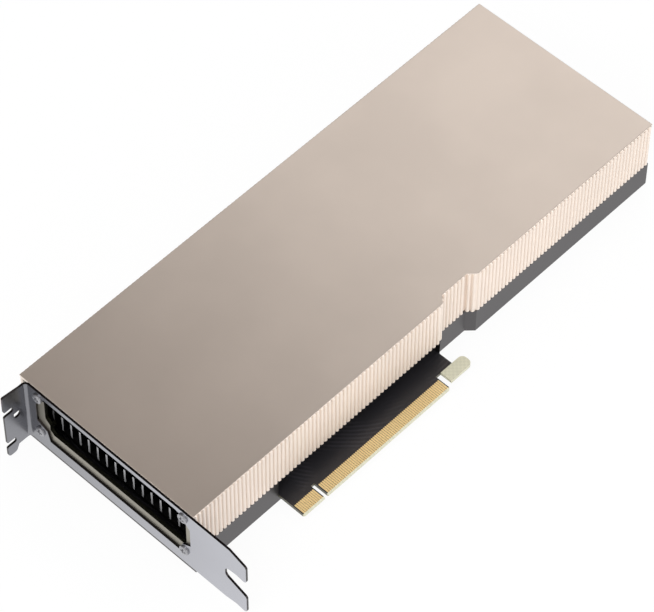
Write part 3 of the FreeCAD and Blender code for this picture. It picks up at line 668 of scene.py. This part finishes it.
class CARD_OT_cover(bpy.types.Operator):
    """Makes the fluted cover: a thin shell with rounded ribs down both long sides and round the recess"""
    bl_idname = "card.cover"
    bl_label = "Fluted cover"

    def execute(self, context):
        sizes = context.scene.card_sizes
        low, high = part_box("fluted_cover")
        near, far = self.walls(sizes, low, high, 0.0)
        shell = new_piece("cover_shell", self.shell(sizes, low, high))
        soften(shell, sizes.cover_edge)
        bake(shell)
        dress(shell, "cover_gold", "fluted_cover")
        points = []
        for start, end in (*zip(near, near[1:]), (far[1], far[0])):
            points += straight_row(start, end, sizes.rib_width, sizes.rib_pitch)[:2]
        rows = [(index, index + 1) for index in range(0, len(points), 2)]
        ribs = copies("cover_ribs", self.rib(sizes, low.z, high.z), "cover_gold", points, rows,
                      sizes.rib_pitch)
        dress(ribs, "cover_gold")
        return {"FINISHED"}

    def walls(self, sizes, low, high, skin):
        """The near wall's plan, with its recess, and the far wall's, each brought in by a skin."""
        near = low.y + sizes.rib_depth + skin
        far = high.y - sizes.rib_depth - skin
        slide = skin * MITRE
        first = BRACKET_FACE + sizes.recess_start
        last = BRACKET_FACE + sizes.recess_end
        deep = sizes.recess_depth
        plan = ((low.x, near), (first - slide, near), (first + deep - slide, near + deep),
                (last - deep + slide, near + deep), (last + slide, near), (high.x, near))
        return [Vector((*point, 0.0)) for point in plan], [Vector((x, far, 0.0)) for x in (low.x, high.x)]

    def shell(self, sizes, low, high):
        """Side walls and top in one, open below and at both ends, with a thin lip over the ribs' tops."""
        lip_foot = high.z - sizes.lip_height
        levels = {
            "outer": ((0.0, low.z), (0.0, lip_foot),
                      (-sizes.lip_reach, lip_foot), (-sizes.lip_reach, high.z)),
            "inner": ((sizes.cover_wall, low.z), (sizes.cover_wall, high.z - sizes.cover_wall)),
        }
        points = []
        rows = {}
        for name, steps in levels.items():
            for number, (skin, height) in enumerate(steps):
                for side, line in zip(("near", "far"), self.walls(sizes, low, high, skin)):
                    rows[name, side, number] = list(range(len(points), len(points) + len(line)))
                    points += [(point.x, point.y, height) for point in line]
        faces = [rows[name, "near", len(steps) - 1] + rows[name, "far", len(steps) - 1][::-1]
                 for name, steps in levels.items()]
        chains = {side: [rows["inner", side, 1], rows["inner", side, 0],
                         *(rows["outer", side, number] for number in range(len(levels["outer"])))]
                  for side in ("near", "far")}
        for chain in chains.values():
            for below, above in zip(chain, chain[1:]):
                for index in range(len(below) - 1):
                    faces.append((below[index], below[index + 1], above[index + 1], above[index]))
        for tip in (0, -1):
            faces.append([row[tip] for row in chains["near"] + chains["far"][::-1]])
        return outward(mesh_of("cover_shell", points, faces))

    def rib(self, sizes, bottom, top):
        """One rib: rounded outside, its root buried in the wall, its top run out into the cover's lip."""
        half = sizes.rib_width / 2
        outline = [(half, sizes.cover_wall / 2), (-half, sizes.cover_wall / 2)]
        for step in range(RIB_STEPS + 1):
            across = step / RIB_STEPS * 2 - 1
            crown = math.cos(math.pi / 2 * across) ** RIB_FULLNESS
            outline.append((half * across, -sizes.rib_depth * crown))
        rings = []
        flush = sizes.lip_reach / sizes.rib_depth
        for height, share in ((bottom, RIB_FOOT), (bottom + sizes.cover_edge, 1.0),
                              (top - sizes.lip_height, 1.0), (top - sizes.cover_edge, flush)):
            rings.append([(x, min(y, 0.0) * share + max(y, 0.0), height) for x, y in outline])
        return outward(ring_mesh("rib", rings))


class CARD_OT_contacts(bpy.types.Operator):
    """Makes the gold contacts on both faces of the tab, before and after the key notch"""
    bl_idname = "card.contacts"
    bl_label = "Edge contacts"

    def execute(self, context):
        sizes = context.scene.card_sizes
        for face in ("top", "bottom"):
            for run in ("short", "long"):
                node = f"contacts_{run}_{face}"
                low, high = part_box(node)
                start = Vector((low.x, 0.0, 0.0))
                end = Vector((high.x, 0.0, 0.0))
                first, last, pitch = straight_row(start, end, sizes.contact_width,
                                                  sizes.contact_pitch, CONTACT_SPARE)
                finger = self.finger(sizes.contact_width, low, high)
                piece = copies(node + "_fingers", finger, "contact_gold", (first, last), [(0, 1)], pitch)
                dress(piece, "contact_gold", node)
        return {"FINISHED"}

    def finger(self, width, low, high):
        """One contact: a thin strip with a rounded inner end."""
        half = width / 2
        outline = [(half, low.y), (-half, low.y)]
        for step in range(CONTACT_STEPS + 1):
            angle = math.pi * step / CONTACT_STEPS
            outline.append((-half * math.cos(angle), high.y - half + half * math.sin(angle)))
        rings = [[(x, y, height) for x, y in outline] for height in (low.z, high.z)]
        return outward(ring_mesh("finger", rings))


class CARD_OT_screws(bpy.types.Operator):
    """Makes the screws' heads with their cross recesses, on the bracket, the back and the far end"""
    bl_idname = "card.screws"
    bl_label = "Screws"

    def execute(self, context):
        depth = context.scene.card_sizes.screw_recess
        for name, (dome, axis) in SCREW_SETS.items():
            nodes = [f"{name}_{number}" for number in range(1, SCREWS_IN_SET + 1)]
            boxes = [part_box(node) for node in nodes]
            low, high = boxes[0]
            size = high - low
            radius = (size.y if axis.x else size.x) / 2
            height = abs(size.dot(axis))
            tips = [(low + high) / 2 + axis * height / 2 for low, high in boxes]
            head = self.head(radius, height, HEAD_HEIGHT, dome, depth, axis)
            piece = copies(name + "_heads", head, "screw_steel", tips)
            dress(piece, "screw_steel", *nodes)
        low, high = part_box("intake_frame")
        corners = [(high.x + INTAKE_PROUD, y, z)
                   for y in (low.y + INTAKE_INSET, high.y - INTAKE_INSET)
                   for z in (low.z + INTAKE_INSET_UP, high.z - INTAKE_INSET_UP)]
        head = self.head(INTAKE_RADIUS, INTAKE_LENGTH, INTAKE_LENGTH, INTAKE_DOME, INTAKE_RECESS,
                         Vector((1.0, 0.0, 0.0)))
        dress(copies("intake_screws", head, "screw_steel", corners), "screw_steel")
        return {"FINISHED"}

    def head(self, radius, height, under, dome, depth, axis):
        """A screw, its top at the origin and its axis outward: a shank from under its domed head down."""
        shank = radius * SHANK_SHARE
        levels = [(shank, -height), (shank, -under), (radius, -under), (radius, -dome - HEAD_RIM)]
        for step in range(1, DOME_STEPS + 1):
            angle = math.pi / 2 * step / DOME_STEPS
            reach = radius * (DOME_FLAT + (1.0 - DOME_FLAT) * math.cos(angle))
            levels.append((reach, -dome * (1.0 - math.sin(angle))))
        turns = [2 * math.pi * side / SCREW_SIDES for side in range(SCREW_SIDES)]
        rings = [[(reach * math.cos(turn), reach * math.sin(turn), level) for turn in turns]
                 for reach, level in levels]
        body = new_piece("screw", outward(ring_mesh("screw", rings)))
        cutter = new_piece("recess", self.recess(radius, depth))
        cut = body.modifiers.new("recess", "BOOLEAN")
        cut.operation = "DIFFERENCE"
        cut.solver = "EXACT"
        cut.object = cutter
        bake(body)
        mesh = body.data
        mesh.transform(axis.to_track_quat("Z", "Y").to_matrix().to_4x4())
        for helper in (body, cutter):
            bpy.data.objects.remove(helper)
        return mesh

    def recess(self, radius, depth):
        """The cutter of a cross recess, which narrows downwards."""
        arm = radius * CROSS_REACH
        thin = radius * CROSS_HALF
        cross = [(arm, thin), (thin, thin), (thin, arm), (-thin, arm), (-thin, thin), (-arm, thin),
                 (-arm, -thin), (-thin, -thin), (-thin, -arm), (thin, -arm), (thin, -thin), (arm, -thin)]
        rings = [[(x * share, y * share, level) for x, y in cross]
                 for level, share in ((CUTTER_CLEAR, CROSS_MOUTH), (-depth, CROSS_FOOT))]
        return outward(ring_mesh("recess", rings))


class CARD_OT_housings(bpy.types.Operator):
    """Gives the sheet, frame and plastic parts soft edges, and the bracket its full window"""
    bl_idname = "card.housings"
    bl_label = "Bracket, frames and plastics"

    def execute(self, context):
        sizes = context.scene.card_sizes
        sheet = sizes.sheet_edge
        bracket = softened("mounting_bracket_dressed", "mounting_bracket", sheet,
                           lambda work: self.open_window(work, sizes))
        dress(bracket, "bracket_steel", "mounting_bracket")
        for node, (slot, share) in HOUSINGS.items():
            dress(softened(node + "_dressed", node, sheet * share), slot, node)
        return {"FINISHED"}

    def open_window(self, work, sizes):
        """Takes the bracket's window up to a thin strip under its edge, and down to the grille's bar."""
        for corner in work.verts:
            if corner.co.x < BRACKET_FACE - CLOSE:
                continue
            if abs(corner.co.y - WINDOW_SIDE) < CLOSE:
                corner.co.y += sizes.window_side
            if abs(corner.co.z - WINDOW_TOP) < CLOSE:
                corner.co.z += sizes.window_rise
                if corner.co.y < 0.0:
                    corner.co.y += sizes.window_nip
            elif abs(corner.co.z - WINDOW_FOOT) < CLOSE:
                corner.co.z -= sizes.window_dip


class CARD_OT_solids(bpy.types.Operator):
    """Gives every solid that stays its finish"""
    bl_idname = "card.solids"
    bl_label = "Board, heat sink and inner parts"

    def execute(self, context):
        for part in frame["record"]["subparts"]:
            for place in NODES[part["node"]].material_slots:
                place.material = finish(part["material_slot"])
        return {"FINISHED"}


class CARD_OT_stage(bpy.types.Operator):
    """Sets the pale floor, the soft lamps, the world and the camera"""
    bl_idname = "card.stage"
    bl_label = "Stage"

    def execute(self, context):
        self.floor()
        self.lamps(context.scene.card_studio)
        self.world(context)
        self.camera(context)
        context.scene.view_settings.view_transform = "Standard"
        return {"FINISHED"}

    def floor(self):
        """A wide pale floor that the metal's gloss sees white, and the camera almost so."""
        corners = [(x * FLOOR_REACH, y * FLOOR_REACH, 0.0)
                   for x, y in ((-1, -1), (1, -1), (1, 1), (-1, 1))]
        floor = new_piece("floor", mesh_of("floor", corners, [(0, 1, 2, 3)]))
        shade = Shade("floor_white")
        shade.set(Base_Color=(0.9, 0.9, 0.9, 1.0), Roughness=0.9)
        rays = shade.add("ShaderNodeLightPath")
        seen = shade.math("MULTIPLY", rays.outputs["Is Camera Ray"], FLOOR_SEEN)
        share = shade.math("MAXIMUM", seen, rays.outputs["Is Glossy Ray"])
        glow = shade.add("ShaderNodeEmission")
        glow.inputs["Color"].default_value = (1.0, 1.0, 1.0, 1.0)
        glow.inputs["Strength"].default_value = 1.0
        mix = shade.add("ShaderNodeMixShader")
        shade.link(share, mix.inputs["Fac"])
        shade.link(shade.bsdf.outputs["BSDF"], mix.inputs[1])
        shade.link(glow.outputs["Emission"], mix.inputs[2])
        shade.link(mix.outputs["Shader"], shade.out.inputs["Surface"])
        floor.data.materials.append(shade.material)

    def lamps(self, settings):
        """Soft boxes over the far end, before the bracket and along the long side."""
        for side, (place, aim, size) in SOFT_BOXES.items():
            name = side + "_soft_box"
            data = bpy.data.lights.new(name, "AREA")
            data.energy = getattr(settings, side + "_lamp")
            data.shape = "RECTANGLE"
            data.size, data.size_y = size
            lamp = bpy.data.objects.new(name, data)
            lamp.location = place
            lamp.rotation_mode = "QUATERNION"
            lamp.rotation_quaternion = (Vector(aim) - Vector(place)).to_track_quat("-Z", "Y")
            lamp.visible_camera = False
            bpy.context.scene.collection.objects.link(lamp)

    def world(self, context):
        """A room that is plain daylight on matt surfaces, darker in gloss, and white to the camera."""
        world = bpy.data.worlds.new("studio")
        world.use_nodes = True
        tree = world.node_tree
        tree.nodes.clear()
        rays = tree.nodes.new("ShaderNodeLightPath")
        settings = context.scene.card_studio
        grey = settings.daylight
        light = tree.nodes.new("ShaderNodeBackground")
        light.inputs["Color"].default_value = (grey, grey, grey, 1.0)
        seen = light.outputs["Background"]
        side = tree.nodes.new("ShaderNodeVectorMath")
        side.operation = "DOT_PRODUCT"
        side.inputs[1].default_value = DIM_SIDE
        tree.links.new(tree.nodes.new("ShaderNodeTexCoord").outputs["Generated"], side.inputs[0])
        sides = tree.nodes.new("ShaderNodeValToRGB")
        for element, place, colour in zip(sides.color_ramp.elements, (0.0, DIM_FROM),
                                          (settings.bright_room, settings.room)):
            element.position = place
            element.color = (*colour, 1.0)
        tree.links.new(side.outputs["Value"], sides.inputs["Fac"])
        room = tree.nodes.new("ShaderNodeBackground")
        tree.links.new(sides.outputs["Color"], room.inputs["Color"])
        white = tree.nodes.new("ShaderNodeBackground")
        white.inputs["Color"].default_value = (1.0, 1.0, 1.0, 1.0)
        for ray, view in (("Is Glossy Ray", room), ("Is Camera Ray", white)):
            mix = tree.nodes.new("ShaderNodeMixShader")
            tree.links.new(rays.outputs[ray], mix.inputs["Fac"])
            tree.links.new(seen, mix.inputs[1])
            tree.links.new(view.outputs["Background"], mix.inputs[2])
            seen = mix.outputs["Shader"]
        out = tree.nodes.new("ShaderNodeOutputWorld")
        tree.links.new(seen, out.inputs["Surface"])
        context.scene.world = world

    def camera(self, context):
        """The camera, turned about its aim by its roll."""
        settings = context.scene.card_studio
        data = bpy.data.cameras.new("camera")
        data.sensor_width = 36.0
        data.lens = settings.camera_lens
        data.shift_x, data.shift_y = settings.camera_shift
        data.clip_start = 0.05
        data.clip_end = 20.0
        camera = bpy.data.objects.new("camera", data)
        aim = Vector(settings.camera_aim).normalized()
        level = aim.cross(UP).normalized()
        down = aim.cross(level)
        right = level * math.cos(settings.camera_roll) + down * math.sin(settings.camera_roll)
        up = right.cross(aim)
        turn = Matrix((right, up, -aim)).transposed().to_4x4()
        camera.matrix_world = Matrix.Translation(settings.camera_place) @ turn
        context.scene.collection.objects.link(camera)
        context.scene.camera = camera


class CARD_PT_panel(bpy.types.Panel):
    """Lists the card's operators in the sidebar"""
    bl_idname = "CARD_PT_panel"
    bl_label = "Passive Accelerator Card"
    bl_space_type = "VIEW_3D"
    bl_region_type = "UI"
    bl_category = "Card"

    def draw(self, context):
        for operator in OPERATORS:
            self.layout.operator(operator.bl_idname)


GROUPS = {"card_sizes": CardSizes, "card_studio": StudioSettings}
OPERATORS = (CARD_OT_cover, CARD_OT_contacts, CARD_OT_screws, CARD_OT_housings, CARD_OT_solids,
             CARD_OT_stage)


def register():
    for item in (*GROUPS.values(), *OPERATORS, CARD_PT_panel):
        bpy.utils.register_class(item)
    for name, group in GROUPS.items():
        setattr(bpy.types.Scene, name, PointerProperty(type=group))


def unregister():
    for name in GROUPS:
        delattr(bpy.types.Scene, name)
    for item in (CARD_PT_panel, *reversed(OPERATORS), *reversed(tuple(GROUPS.values()))):
        bpy.utils.unregister_class(item)


def main():
    register()
    for operator in OPERATORS:
        group, name = operator.bl_idname.split(".")
        getattr(getattr(bpy.ops, group), name)()


if __name__ == "__main__":
    main()
